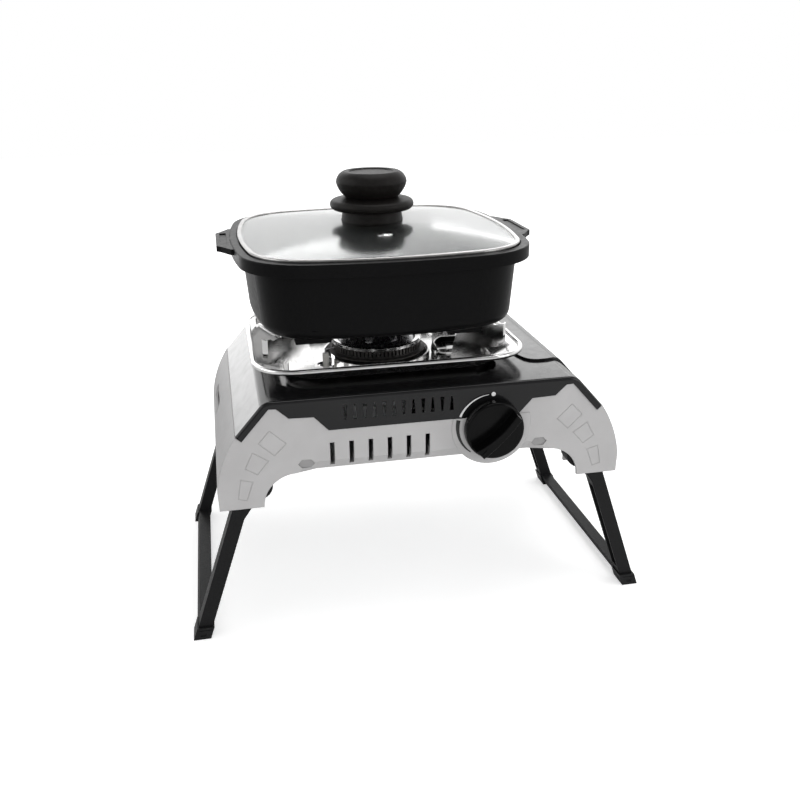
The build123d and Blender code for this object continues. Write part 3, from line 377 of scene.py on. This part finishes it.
def print_ink(name, dark, light):
    finish = Finish(name)
    finish.tone(finish.noise(size_mm=2), dark, light)
    finish.roughness(finish.noise(size_mm=1), low=0.4, high=0.5)
    return finish.material


def flat_print(name, outline, y, ink):
    """Thin raised print on a face that looks along -Y; outline is a list of (x, z) strip pairs."""
    mesh = bpy.data.meshes.new(name)
    build = bmesh.new()
    rows = []
    for pair in outline:
        front = [build.verts.new((x, y - ink_thick, z)) for x, z in pair]
        back = [build.verts.new((x, y, z)) for x, z in pair]
        rows.append(front + back)
    for row, following in zip(rows, rows[1:]):
        for start, end in print_sides:
            build.faces.new((row[start], row[end], following[end], following[start]))
    for row in (rows[0], rows[-1]):
        build.faces.new((row[front_inner], row[back_inner], row[back_outer], row[front_outer]))
    bmesh.ops.recalc_face_normals(build, faces=build.faces)
    build.to_mesh(mesh)
    build.free()
    piece = bpy.data.objects.new(name, mesh)
    bpy.context.collection.objects.link(piece)
    piece.data.materials.append(ink)
    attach(piece, "base")


def arc_strip(start_deg, end_deg, inner_radius, start_width, end_width, steps=40):
    """Pairs along an arc round the control knob, whose width changes evenly."""
    strip = []
    for step in range(steps + 1):
        share = step / steps
        angle = math.radians(start_deg + (end_deg - start_deg) * share)
        outer_radius = inner_radius + start_width + (end_width - start_width) * share
        inner = (knob_x + inner_radius * math.cos(angle), knob_z + inner_radius * math.sin(angle))
        outer = (knob_x + outer_radius * math.cos(angle), knob_z + outer_radius * math.sin(angle))
        strip.append((inner, outer))
    return strip


def dot_strip(x, z, radius, steps=24):
    """Pairs across a round dot, whose two ends stay a little open."""
    strip = []
    for step in range(steps + 1):
        angle = math.pi * step / steps
        reach = radius * max(math.sin(angle), dot_end_share)
        along = x - radius * math.cos(angle)
        strip.append(((along, z - reach), (along, z + reach)))
    return strip


white_ink = print_ink("white_ink", dark=(0.72, 0.72, 0.72), light=(0.80, 0.80, 0.80))
black_ink = print_ink("black_ink", dark=(0.012, 0.012, 0.012), light=(0.018, 0.018, 0.018))
dot = dot_strip(knob_x + dot_aside, knob_z + dot_above, dot_radius)
upper_arc = arc_strip(start_deg=96, end_deg=159, inner_radius=0.0296, start_width=0.0004, end_width=0.0020)
lower_arc = arc_strip(start_deg=165, end_deg=231, inner_radius=0.0292, start_width=0.0038, end_width=0.0010)
flat_print("dial_dot", dot, skirt_face, white_ink)
flat_print("dial_arc_white", upper_arc, skirt_face, white_ink)
flat_print("dial_arc_black", lower_arc, boss_face, black_ink)

# Floor, which glows for the camera so that it fades into the white backdrop
shown_rays = ("Is Camera Ray", "Is Transmission Ray")
floor_half = 4.0
floor_corners = [
    (-floor_half, -floor_half, 0),
    (floor_half, -floor_half, 0),
    (floor_half, floor_half, 0),
    (-floor_half, floor_half, 0),
]


def pale_floor():
    finish = Finish("pale_floor")
    finish.tone(finish.noise(size_mm=400), dark=(0.86, 0.86, 0.86), light=(0.88, 0.88, 0.88))
    finish.roughness(finish.noise(size_mm=200), low=0.75, high=0.85)
    reach = finish.add("VectorMath")
    reach.operation = "LENGTH"
    finish.join(finish.place, reach.inputs[0])
    glow = span(finish.tree, reach.outputs["Value"], low=0.3, high=1.0, to_low=0.5, to_high=1.0)
    strength = product(finish.tree, glow, ray_share(finish.tree, shown_rays))
    finish.set(Emission_Color=white, Specular_IOR_Level=0.0)
    finish.join(strength, finish.shader.inputs["Emission Strength"])
    return finish.material


floor_mesh = bpy.data.meshes.new("floor")
floor_mesh.from_pydata(floor_corners, [], [(0, 1, 2, 3)])
floor = bpy.data.objects.new("floor", floor_mesh)
bpy.context.collection.objects.link(floor)
floor.data.materials.append(pale_floor())

# World: white for the camera, dimmer for plain light, its own room for mirror rays
ambient_strength = 0.5
world = bpy.data.worlds.new("studio")
bpy.context.scene.world = world
world.use_nodes = True
sky = world.node_tree
sky.nodes.clear()
output = sky.nodes.new("ShaderNodeOutputWorld")


def backdrop(strength=1.0):
    node = sky.nodes.new("ShaderNodeBackground")
    node.inputs["Color"].default_value = white
    node.inputs["Strength"].default_value = strength
    return node


def choose(share, other, chosen):
    """The chosen backdrop or shader for the rays of that share, the other one for the rest."""
    node = sky.nodes.new("ShaderNodeMixShader")
    sky.links.new(share, node.inputs["Fac"])
    sky.links.new(other, node.inputs[1])
    sky.links.new(chosen, node.inputs[2])
    return node.outputs["Shader"]


# Mirror rays see a room that is bright low down and behind, darker overhead and in front
where = sky.nodes.new("ShaderNodeTexCoord")
direction = sky.nodes.new("ShaderNodeSeparateXYZ")
sky.links.new(where.outputs["Generated"], direction.inputs["Vector"])
by_height = span(sky, direction.outputs["Z"], low=0.5, high=0.8, to_low=1.0, to_high=0.25)
by_depth = span(sky, direction.outputs["Y"], low=-0.7, high=0.6, to_low=0.5, to_high=1.4)
mirror = backdrop()
sky.links.new(product(sky, by_height, by_depth), mirror.inputs["Strength"])
ambient = backdrop(ambient_strength).outputs["Background"]
lit = choose(ray_share(sky, ("Is Glossy Ray",)), ambient, mirror.outputs["Background"])
seen = choose(ray_share(sky, shown_rays), lit, backdrop().outputs["Background"])
sky.links.new(seen, output.inputs["Surface"])

# Lamps
body_middle = (0, 0, 0.2)
left_end = (-0.15, 0, 0.2)
right_cover = (0.13, 0, 0.22)
lid_middle = (-0.05, 0, 0.33)


def softbox(name, place, aim, size, power, mirrored=True, lights=True):
    """A lamp that is mirrored in glossy faces, lights plain ones, or does both."""
    lamp = bpy.data.lights.new(name, "AREA")
    lamp.shape = "RECTANGLE"
    lamp.size, lamp.size_y = size
    lamp.energy = power
    holder = bpy.data.objects.new(name, lamp)
    holder.location = place
    holder.rotation_euler = (Vector(aim) - Vector(place)).to_track_quat("-Z", "Y").to_euler()
    holder.visible_camera = False
    holder.visible_glossy = mirrored
    holder.visible_diffuse = lights
    bpy.context.collection.objects.link(holder)


softbox("left_box", place=(-1.25, -0.15, 0.75), aim=body_middle, size=(0.9, 0.9), power=3.0, lights=False)
softbox("top_box", place=(0.15, 0.1, 1.5), aim=body_middle, size=(1.1, 1.1), power=9.0)
softbox("right_box", place=(1.15, -0.9, 0.75), aim=body_middle, size=(0.8, 0.8), power=4.0)
softbox("rear_left_box", place=(-0.62, 1.2, 0.17), aim=left_end, size=(0.6, 0.25), power=0.85, lights=False)
softbox("rear_right_box", place=(0.65, 1.15, 0.64), aim=right_cover, size=(0.6, 0.16), power=0.5)
softbox("rear_top_box", place=(-0.05, 1.1, 0.95), aim=lid_middle, size=(0.6, 0.3), power=1.4, lights=False)
softbox("front_fill", place=(-0.2, -1.7, 0.7), aim=body_middle, size=(1.2, 0.9), power=8.0, mirrored=False)

# Camera fitted to the photograph
camera_place = Vector((-0.1626, -0.81845, 0.4953))
yaw = math.radians(11.33)
pitch = math.radians(21.38)
roll = math.radians(-0.73)
focal_pixels = 904.6
frame_pixels = 800.0
ahead = Vector((math.sin(yaw) * math.cos(pitch), math.cos(yaw) * math.cos(pitch), -math.sin(pitch)))
level = Vector((math.cos(yaw), -math.sin(yaw), 0))
upright = level.cross(ahead)
right = math.cos(roll) * level + math.sin(roll) * upright
upward = -math.sin(roll) * level + math.cos(roll) * upright
camera_data = bpy.data.cameras.new("photo_camera")
camera_data.sensor_width = 36.0
camera_data.lens = focal_pixels / frame_pixels * camera_data.sensor_width
camera_data.clip_start = 0.05
camera_data.clip_end = 30.0
camera = bpy.data.objects.new("photo_camera", camera_data)
turn = Matrix((right, upward, -ahead)).transposed().to_4x4()
camera.matrix_world = Matrix.Translation(camera_place) @ turn
bpy.context.collection.objects.link(camera)
bpy.context.scene.camera = camera
bpy.context.scene.view_settings.view_transform = "Standard"
